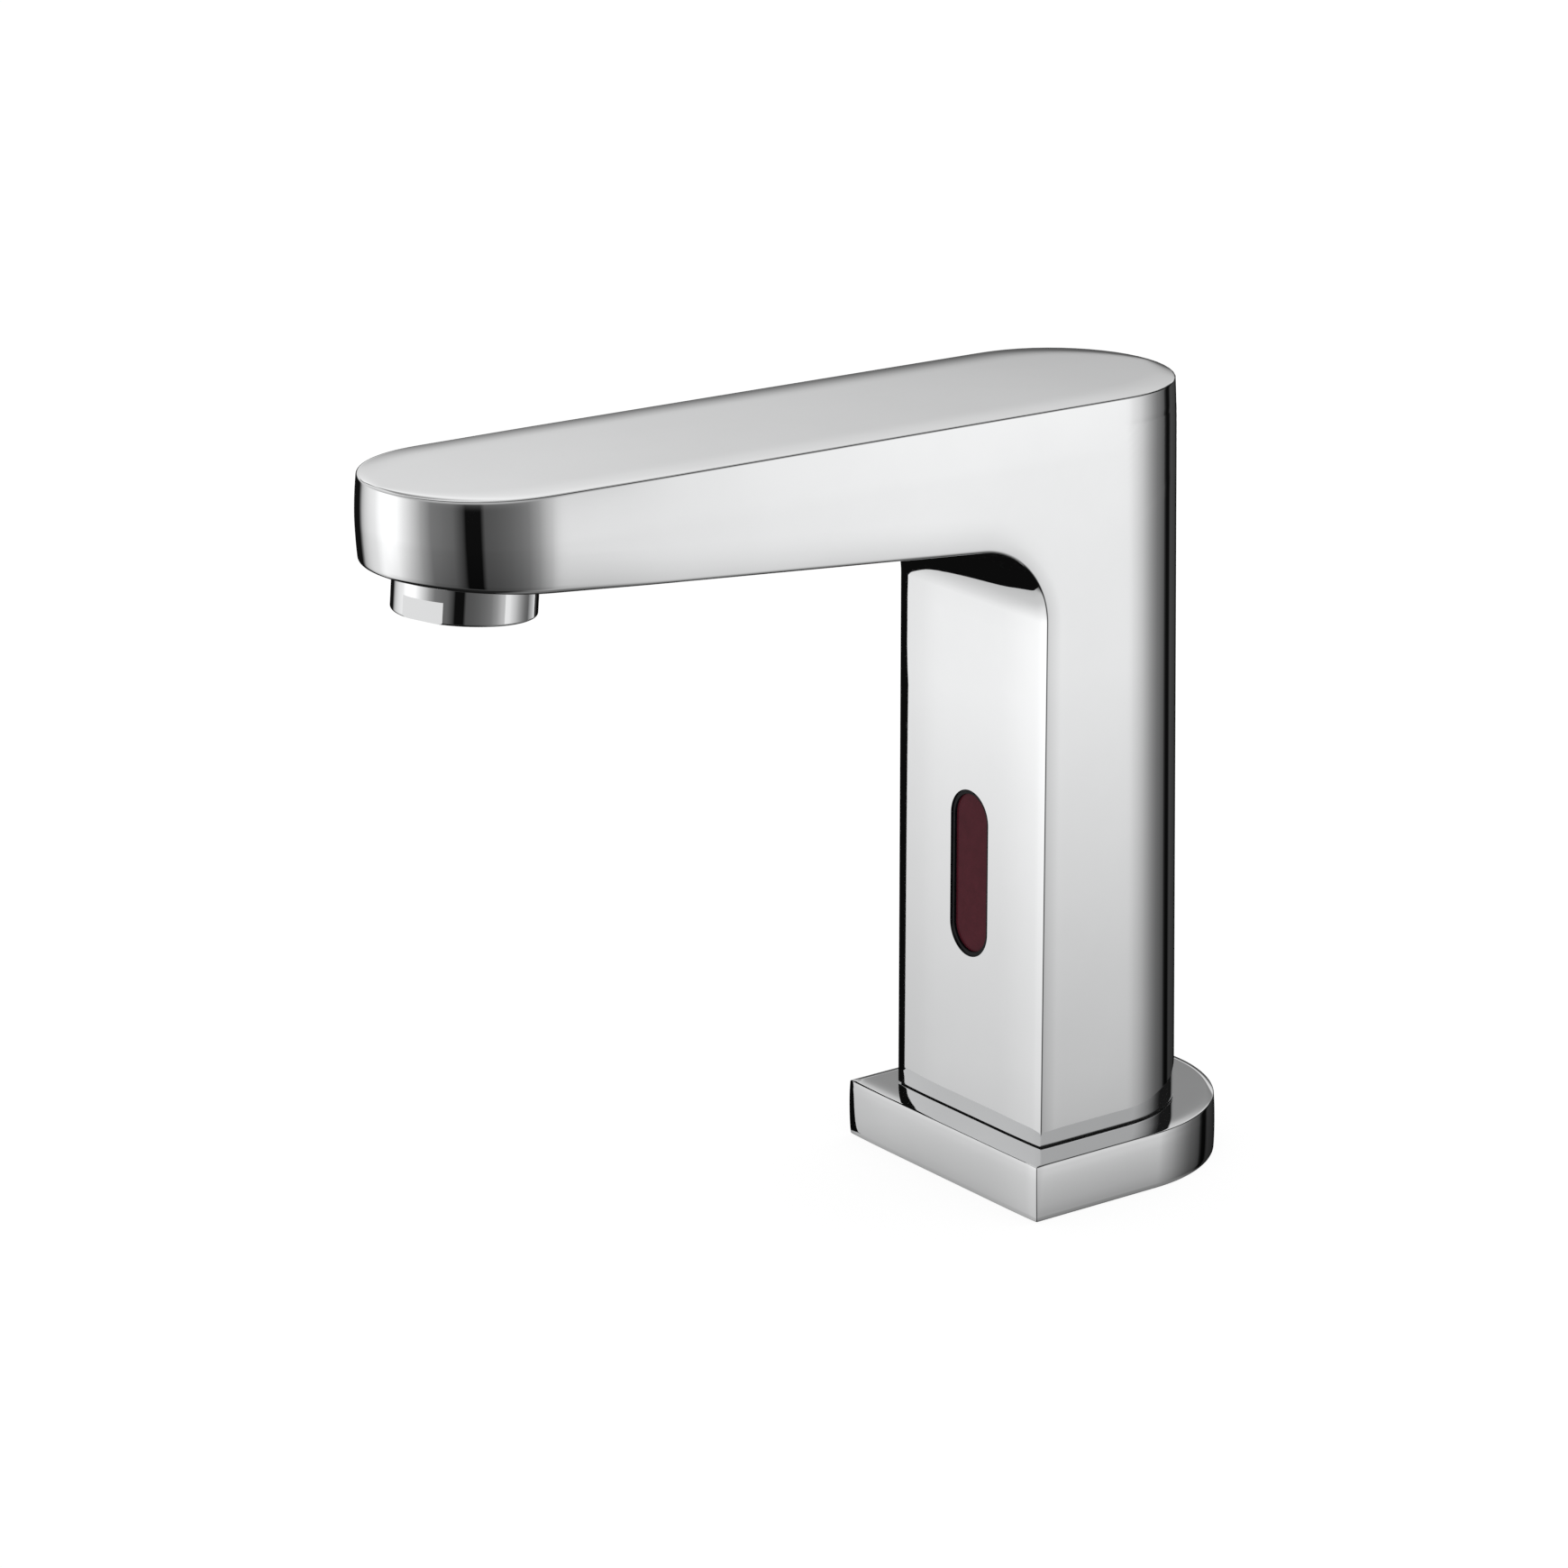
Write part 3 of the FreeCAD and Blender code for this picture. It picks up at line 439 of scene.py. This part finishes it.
def body_skin():
    O = Outline(stadium_points(), 1.6)
    # profile: underside line, concave corner, front line
    n1 = unit([UR, 1.0])
    n2 = unit([1.0, -FD])
    k1 = n1 @ np.array([UY0, U0]) - RC
    k2 = n2 @ np.array([FY, 105.0]) - RC
    cc = np.linalg.solve(np.array([n1, n2]), np.array([k1, k2]))
    a1 = math.atan2(n1[1], n1[0])
    a2 = math.atan2(n2[1], n2[0])
    t1, t2 = cc + RC * n1, cc + RC * n2
    s1 = O.s_of_y(t1[0])
    # samples along the profile: (y, z, inward normal)
    sn = np.concatenate([np.linspace(0, 38, 48), np.linspace(38, s1, 22)[1:]])
    ys = O.at(sn)[1]
    prof = [(s, y, under_z(y), n1[0], n1[1]) for s, y in zip(sn, ys)]
    for a in np.linspace(a1, a2, 34)[1:]:
        q = cc + RC * np.array([math.cos(a), math.sin(a)])
        prof.append((O.s_of_y(q[0]), q[0], q[1], math.cos(a), math.sin(a)))
    RB = 0.14
    zf = np.concatenate([np.linspace(t2[1], COLZ + 4.0, 26)[1:], [COLZ + 2.5, COLZ + 1.4, COLZ + 0.8, COLZ + 0.4],
                         COLZ + RB * (1 - np.cos(np.radians([75, 60, 45, 30, 15, 0])))])
    for z in zf:
        prof.append((O.s_of_y(front_y(z)), front_y(z), z, n2[0], 0.0))
    prof = np.array(prof)
    nu, nfil, nfr = len(sn), 33, len(zf)
    BAND = 5.0
    # outer curve: a line BAND below the top, round to the back, then down the back
    so = [p[0] for p in prof[:nu]]
    zo = [top_z(p[1]) - BAND for p in prof[:nu]]
    half = 25
    for s in np.linspace(s1, O.L, half + 1)[1:]:
        so.append(s)
        zo.append(top_z(float(O.at(s)[1])) - BAND)
    ztb = zo[-1]
    for z in np.linspace(ztb, t2[1], nfil - half + 1)[1:]:
        so.append(O.L)
        zo.append(z)
    for z in zf:
        so.append(O.L)
        zo.append(z)
    so, zo = np.array(so), np.array(zo)

    def edge_r(y):
        w = smoothstep(-124, -100, y)
        return 1.0 * (1 - w) + 0.55 * w

    def wall(s, z, db, dt, rim=True):
        """s, z: place on the wall; db: distance to the profile edge; dt: below the top"""
        x, y, ax, ay = O.at(s)
        nose = 1 - smoothstep(-128, -98, y)
        col = smoothstep(-34, -20, y)
        rb = edge_r(y) * (1 - col) + 0.16 * col
        d = round_in(db, rb) + roll(db, 0.36 * nose + 0.22 * (1 - nose) * (1 - col) + 0.13 * col, 8.0 * nose + (6.0 * (1 - col) + 4.5 * col) * (1 - nose))
        d = d + roll(dt, 0.55 * nose + 0.20 * (1 - nose), 9.0 * nose + 10.0 * (1 - nose))
        if rim:
            d = d + round_in(dt, 0.30)
        dbot = np.maximum(z - COLZ, 0)
        d = d + np.where(y > -21.5, round_in(dbot, RB) + roll(dbot, 0.03, 4.0), 0)
        return x - d * ax, y - d * ay, z

    # wall between the profile edge and the outer curve
    D0 = 6.5
    din = np.concatenate([1.0 * (1 - np.cos(np.radians([0, 10, 20, 30, 40, 50, 60, 70, 80, 90]))), [1.5, 2.2, 3.0, 4.0, 5.2, D0]])
    NV = 44
    rows = []
    Ls = []
    for i, (s, y, z, ny_, nz_) in enumerate(prof):
        # close to the edge the run goes square to it
        P0 = np.array([s, z])
        dirn = np.array([ny_, nz_])
        if i < nu:
            dirn = np.array([0.0, 1.0])
        end = np.array([so[i], zo[i]])
        sc = min(1.0, 0.75 * np.linalg.norm(end - P0) / D0)
        pts = [P0 + dirn * d * sc for d in din]
        dd = [d * sc * (n1[1] if i < nu else 1.0) for d in din]
        Q = pts[-1]
        for k in range(1, NV + 1):
            f = k / NV
            pts.append(Q + (end - Q) * f)
            dd.append(1e3 if f > 0 else 0)
        rows.append(pts)
        Ls.append(dd)
    S = np.array([[p[0] for p in r] for r in rows])
    Z = np.array([[p[1] for p in r] for r in rows])
    DB = np.array(Ls)
    # true distance to the profile for the rest of the wall, so that rolls fade out evenly
    yy = O.at(S)[1]
    d_under = (np.stack([yy, Z], -1) - t1) @ n1
    d_front = (np.stack([yy, Z], -1) - t2) @ n2
    rc = np.hypot(yy - cc[0], Z - cc[1]) - RC
    dist = np.where(yy < t1[0], d_under, np.where(Z < t2[1], d_front, rc))
    DBr = np.where(DB < 900, DB, np.maximum(dist, 0))
    # the band rows fade in, so no step shows where the two measures meet
    DT = top_z(yy) - Z
    X, Y, ZZ = wall(S, Z, DBr, DT)
    P = np.stack([X, Y, ZZ], -1)
    G = Grid()
    G.patch(P, flip=True)
    G.patch(mirror(P))
    # rim band
    sr = so[: nu + half]
    dts = np.concatenate([[BAND, 4.0, 3.0, 2.2, 1.5, 1.0, 0.6], 0.30 * (1 - np.cos(np.radians([90, 75, 60, 45, 30, 15, 0])))])
    SB, DTB = np.meshgrid(sr, dts, indexing="ij")
    yb = O.at(SB)[1]
    ZB = top_z(yb) - DTB
    d_under = (np.stack([yb, ZB], -1) - t1) @ n1
    rcb = np.hypot(yb - cc[0], ZB - cc[1]) - RC
    distb = np.where(yb < t1[0], d_under, np.where(ZB < t2[1], 1e3, rcb))
    X, Y, ZZ = wall(SB, ZB, np.maximum(distb, 0), DTB)
    PB = np.stack([X, Y, ZZ], -1)
    PB[..., 2] -= CROWN * np.clip(1 - DTB / BAND, 0, 1)
    G.patch(PB, flip=True)
    G.patch(mirror(PB))
    # top, with a little crown
    edge = PB[:, -1]
    us = np.concatenate([[0, 0.012, 0.026, 0.042, 0.06, 0.08, 0.11, 0.15, 0.21, 0.28, 0.36, 0.45, 0.56], [0.7, 0.85, 1.0]])
    us = np.concatenate([us, 2 - us[-2::-1]]) / 2          # 0..1 across
    A, B = edge, mirror(edge)
    C = A[:, None] + (B - A)[:, None] * us[None, :, None]
    dx = np.minimum(us, 1 - us)[None, :] * (np.linalg.norm(B - A, axis=1))[:, None]
    C[..., 2] = top_z(C[..., 1]) - roll(dx, CROWN, 6.5)
    C[:, 0, 2] = C[:, -1, 2] = A[:, 2]
    G.patch(C)
    # underside, corner and front
    E = P[:, 0]
    A, B = E, mirror(E)
    C = A[:, None] + (B - A)[:, None] * us[None, :, None]
    dx = np.minimum(us, 1 - us)[None, :] * (np.linalg.norm(B - A, axis=1))[:, None]
    amp = smoothstep(-60, -36, E[:, 1])
    out = amp[:, None] * (0.325 - roll(dx, 0.26, 12.0) - roll(dx, 0.065, 2.2))
    C[..., 1] -= prof[:, 3][:, None] * out
    C[..., 2] -= np.where(E[:, 2] < 100, 0, prof[:, 4])[:, None] * out
    G.patch(C, flip=True)
    # foot
    foot = P[-1]
    A, B = foot, mirror(foot)
    C = A[:, None] + (B - A)[:, None] * us[None, :, None]
    C[..., 2] = COLZ
    C[0, :, 1] -= prof[-1, 3] * out[-1]
    G.patch(C, flip=True)
    return G.welded()


def prism(name, pts, axis_pts):
    """closed prism between two outlines of equal count"""
    n = len(pts)
    V = [tuple(p) for p in pts] + [tuple(p) for p in axis_pts]
    F = [tuple(range(n))[::-1], tuple(range(n, 2 * n))]
    F += [(i, (i + 1) % n, n + (i + 1) % n, n + i) for i in range(n)]
    me = bpy.data.meshes.new(name)
    me.from_pydata([tuple(c * MM for c in v) for v in V], [], F)
    me.update()
    b = bmesh.new()
    b.from_mesh(me)
    bmesh.ops.recalc_face_normals(b, faces=b.faces)
    b.to_mesh(me)
    b.free()
    ob = bpy.data.objects.new(name, me)
    scene.collection.objects.link(ob)
    return ob


def d_points(hw, front, cy, r, n=72):
    p = [(-hw, front), (hw, front)]
    return p + [(r * math.cos(t), cy + r * math.sin(t)) for t in np.linspace(0, math.pi, n)]


def upright(name, pts, z0, z1):
    return prism(name, [(x, y, z0) for x, y in pts], [(x, y, z1) for x, y in pts])


def disc_points(r, x=0.0, y=0.0, n=64):
    return [(x + r * math.cos(t), y + r * math.sin(t)) for t in np.linspace(0, 2 * math.pi, n, endpoint=False)]


def skin_object(name, verts, faces, cutters, slot, node, sharp=32.0):
    me = bpy.data.meshes.new(name)
    me.from_pydata([tuple(float(c) * MM for c in v) for v in verts], [], faces)
    me.update()
    b = bmesh.new()
    b.from_mesh(me)
    bmesh.ops.recalc_face_normals(b, faces=b.faces)
    b.to_mesh(me)
    b.free()
    ob = bpy.data.objects.new(name + "_raw", me)
    scene.collection.objects.link(ob)
    for c in cutters:
        mod = ob.modifiers.new(c.name, "BOOLEAN")
        mod.operation = "DIFFERENCE"
        mod.solver = "EXACT"
        mod.object = c
    dg = bpy.context.evaluated_depsgraph_get()
    dg.update()
    final = bpy.data.meshes.new_from_object(ob.evaluated_get(dg), depsgraph=dg)
    final.name = name
    bpy.data.objects.remove(ob, do_unlink=True)
    for c in cutters:
        bpy.data.objects.remove(c, do_unlink=True)
    for p in final.polygons:
        p.use_smooth = True
        p.material_index = 0
    final.set_sharp_from_angle(angle=math.radians(sharp))
    final.materials.clear()
    final.materials.append(M[slot])
    piece = bpy.data.objects.new(name, final)
    scene.collection.objects.link(piece)
    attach(piece, "tap")
    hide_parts(node)
    return piece


# the casting, with its hollow, ports and window hole
verts, faces = body_skin()
cav = 19.2
lean = math.atan(FD)
SEN_Z = 58.35
sy = front_y(SEN_Z)


def sen_pt(x, y, z):
    """place on the sensor's own axes, which lean with the front face"""
    c, s = math.cos(-lean), math.sin(-lean)
    return (x, sy + y * c - z * s, SEN_Z + y * s + z * c)


pill_pts = []
for t in np.linspace(0, math.pi, 40):
    pill_pts.append((5.68 * math.cos(t), 10.4 + 5.68 * math.sin(t)))
for t in np.linspace(math.pi, 2 * math.pi, 40):
    pill_pts.append((5.68 * math.cos(t), -10.4 + 5.68 * math.sin(t)))
tilt = math.atan(UR)
ax_dir = np.array([0.0, math.sin(tilt), math.cos(tilt)])         # into the casting
ax_side = np.array([0.0, math.cos(tilt), -math.sin(tilt)])
ax_o = np.array([0.0, AER_Y, under_z(AER_Y)])


def aer_ring(r, h, n=96):
    return [tuple(ax_o + ax_dir * h + np.array([r * math.cos(t), 0, 0]) + ax_side * (r * math.sin(t)))
            for t in np.linspace(0, 2 * math.pi, n, endpoint=False)]


cut = [upright("c_cav", d_points(cav, -16.6, 0.0, cav), 5.0, 117.0),
       upright("c_port", disc_points(4.1, 11.5, 1.5), 116.0, 121.0),
       prism("c_pill", [sen_pt(x, -2.0, z) for x, z in pill_pts], [sen_pt(x, 4.5, z) for x, z in pill_pts]),
       prism("c_socket", aer_ring(12.03, -3.0), aer_ring(12.03, 8.7)),
       prism("c_throat", aer_ring(9.0, 8.0), aer_ring(9.0, 11.9))]
casting = skin_object("casting", verts, faces, cut, "chrome", "tap_body")

# ---------------------------------------------------------------- foot plate
PHW, PFY, PCY = 29.08, -27.6, 0.95


def plate_outline(inset, rc):
    hw, fy = PHW - inset, PFY + inset
    pts = []
    n = 14
    bow = [0.0, 0.25, 0.5, 0.8, 1.2, 1.7, 2.3, 3.2, 4.5, 6.0, 8.0, 10.5, 13.5, 17.5, 22.0]
    k = (hw - rc) / PHW
    bow = np.array([-hw + rc + b * k for b in bow] + [0.0] + [hw - rc - b * k for b in bow[::-1]])
    end = hw - rc - np.abs(bow)
    # the front is bowed a little and rolls off at its two ends
    dy = roll(end, 0.20, 12.0) + roll(end, 0.07, 2.4)
    for t in np.linspace(-math.pi / 2, 0, n):
        pts.append((hw - rc + rc * math.cos(t), fy + dy[-1] + rc + rc * math.sin(t)))
    for y in np.linspace(fy + dy[-1] + rc, PCY, 16)[1:-1]:
        pts.append((hw, y))
    for t in np.linspace(0, math.pi, 97):
        pts.append((hw * math.cos(t), PCY + hw * math.sin(t)))
    for y in np.linspace(PCY, fy + dy[0] + rc, 16)[1:-1]:
        pts.append((-hw, y))
    for t in np.linspace(math.pi, 1.5 * math.pi, n):
        pts.append((-hw + rc + rc * math.cos(t), fy + dy[0] + rc + rc * math.sin(t)))
    for x, d in list(zip(bow, dy))[1:-1]:
        pts.append((x, fy + d))
    return pts


def plate_top(x, y):
    """height of the plate's top: easing down to its edges, more steeply at the left and the back"""
    r = math.hypot(x, y - PCY) if y > PCY else abs(x)
    facing = (0.817 * x - 0.577 * max(y - PCY, 0.0)) / max(r, 1e-6)
    w = float(smoothstep(-0.12, 0.32, facing))
    z = 10.89
    z -= 0.13 * w * max(1 - (PHW - r) / 3.6, 0.0) ** 2
    back = min(max(-facing, 0.36), 1.0)
    t = max(0.85 + 0.95 * back - (PHW - r), 0.0)
    z -= (1 - w) * (0.105 * t + 0.012 * t * t) / back
    z -= 0.13 * max(1 - (y - PFY) / 4.2, 0.0) ** 2 * float(smoothstep(0.0, 2.4, PHW - abs(x)) if x < 0 else 1.0)
    return z


def plate_skin():
    re, rc0 = 0.22, 0.16
    lev = [(0.2, 0.0)] + [(0.004 * (z - 5.0) ** 2 + 0.05 * max(1 - (10.5 - z) / 2.6, 0.0) ** 2
            + 0.05 * max(1 - z / 2.6, 0.0) ** 2, z)
                          for z in (0.12, 1.0, 2.0, 3.0, 4.0, 5.0, 6.0, 7.0, 8.0, 8.6, 9.2, 9.8)]
    rings = []
    for d, z in lev:
        rings.append([(x, y, z) for x, y in plate_outline(d, rc0)])
    d0 = 0.004 * 5.3 ** 2 + 0.045
    for a in np.radians([0, 15, 30, 45, 60, 75, 88]):
        rings.append([(x, y, plate_top(x, y) - re * (1 - math.sin(a)))
                      for x, y in plate_outline(d0 + re * (1 - math.cos(a)), rc0)])
    e = d0 + re
    for d in (e + 0.3, e + 0.7, e + 1.1, e + 1.24, e + 1.33, e + 1.42, e + 1.8, e + 2.5, e + 3.3, e + 4.2, e + 5.5, e + 7.5, e + 10.5):
        rings.append([(x, y, plate_top(x, y)) for x, y in plate_outline(d, rc0)])
    n = len(rings[0])
    V = [v for r in rings for v in r]
    F = []
    for i in range(len(rings) - 1):
        for j in range(n):
            k = (j + 1) % n
            F.append((i * n + j, i * n + k, (i + 1) * n + k, (i + 1) * n + j))
    last = (len(rings) - 1) * n
    V.append((0.0, 0.0, rings[-1][0][2]))
    V.append((0.0, 0.0, 0.0))
    for j in range(n):
        k = (j + 1) % n
        F.append((last + j, last + k, len(V) - 2))
        F.append((k, j, len(V) - 1))
    return V, F


def off_points(o):
    return d_points(PHW - o, PFY + o, PCY, PHW - o)


verts, faces = plate_skin()
cut = [upright("c_low", off_points(3.0), -1.0, 2.5),
       upright("c_in", off_points(5.5), 2.0, 6.5),
       upright("c_up", d_points(cav - 0.5, -16.4, 0.0, cav - 0.5), 5.0, 12.0)]
cut += [upright("c_s%d" % i, disc_points(2.4, x, y), 5.0, 12.0)
        for i, (x, y) in enumerate([(-15.6, -13.3), (15.6, -13.3), (-12.4, 10.2), (12.4, 10.2)])]
foot_plate = skin_object("foot_plate", verts, faces, cut, "chrome", "base_plate")

# ---------------------------------------------------------------- springs and diaphragm: copies of their CAD meshes on the tap body, the CAD pieces hidden
for node, joint, fixed, keep in [("plunger_spring", "plunger_lift", 59.6, 8.0 / 9.6),
                                 ("check_valve_spring", "poppet_lift", 18.4, 2.2 / 3.7),
                                 ("diaphragm", "disc_lift", 37.95, 1.15 / 2.43)]:
    src = bpy.data.objects[node]
    soft = bpy.data.objects.new(node + "_soft", src.data.copy())
    soft.matrix_world = src.matrix_world
    scene.collection.objects.link(soft)
    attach(soft, "tap")
    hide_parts(node)
    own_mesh(soft)

# ---------------------------------------------------------------- black card left of the column
CARD = [(-59.0, -30), (-14, -30), (0, 28), (12, 50), (90, 78), (90, 114), (-57.7, 114), (-57.7, 78), (-59.0, 70)]
card = prism("card", [(-80, y, z) for y, z in CARD], [(-81, y, z) for y, z in CARD])
cm, T, p, co = surface("card")
T.n.remove(p)
ce = T.add("ShaderNodeEmission")
ce.inputs[0].default_value = (0.004, 0.004, 0.004, 1)
T.link(ce.outputs[0], next(n for n in T.n if n.type == "OUTPUT_MATERIAL").inputs[0])
card.data.materials.append(cm)
card.visible_camera = card.visible_diffuse = card.visible_shadow = card.visible_transmission = False

# ---------------------------------------------------------------- table as the polish sees it, with a painted shadow of the tap: darker close to the tap
shadow = upright("table_sheen", disc_points(600.0), -1.2, -1.0)
tm, T, p, co = surface("table_sheen")
T.n.remove(p)
tt = T.add("ShaderNodeBsdfTransparent")
ln = T.add("ShaderNodeVectorMath", operation="LENGTH")
T.link(co, ln.inputs[0])
# painted shadow: this ramp dims reflected rays close to the tap, standing in for the tap's shade on the table
near = T.ramp(T.math("MULTIPLY", ln.outputs["Value"], 1 / 0.5, clamp=True),
              [(0.0, 0.74), (0.05, 0.75), (0.10, 0.83), (0.16, 0.87), (0.28, 0.905), (0.46, 0.95), (0.70, 1.0)])
T.link(near, tt.inputs[0])
T.link(tt.outputs[0], next(n for n in T.n if n.type == "OUTPUT_MATERIAL").inputs[0])
shadow.data.materials.append(tm)
shadow.visible_camera = shadow.visible_diffuse = shadow.visible_shadow = shadow.visible_transmission = False

# ---------------------------------------------------------------- floor
bpy.ops.mesh.primitive_circle_add(vertices=96, radius=6.0, fill_type="NGON", location=(0, 0, -0.0002))
floor = bpy.context.object
floor.name = "floor"
fm, T, p, co = surface("floor")
T.n.remove(p)
diff = T.add("ShaderNodeBsdfDiffuse")
diff.inputs[0].default_value = (0.14, 0.14, 0.14, 1)
emi = T.add("ShaderNodeEmission")
emi.inputs[0].default_value = (1, 1, 1, 1)
emi.inputs[1].default_value = 0.89
addn = T.add("ShaderNodeAddShader")
T.link(diff.outputs[0], addn.inputs[0])
T.link(emi.outputs[0], addn.inputs[1])
tr = T.add("ShaderNodeBsdfTransparent")
geo = T.add("ShaderNodeNewGeometry")
mixs = T.add("ShaderNodeMixShader")
T.link(geo.outputs["Backfacing"], mixs.inputs[0])
T.link(addn.outputs[0], mixs.inputs[1])
T.link(tr.outputs[0], mixs.inputs[2])
out = next(n for n in T.n if n.type == "OUTPUT_MATERIAL")
T.link(mixs.outputs[0], out.inputs[0])
floor.data.materials.append(fm)
floor.visible_glossy = False
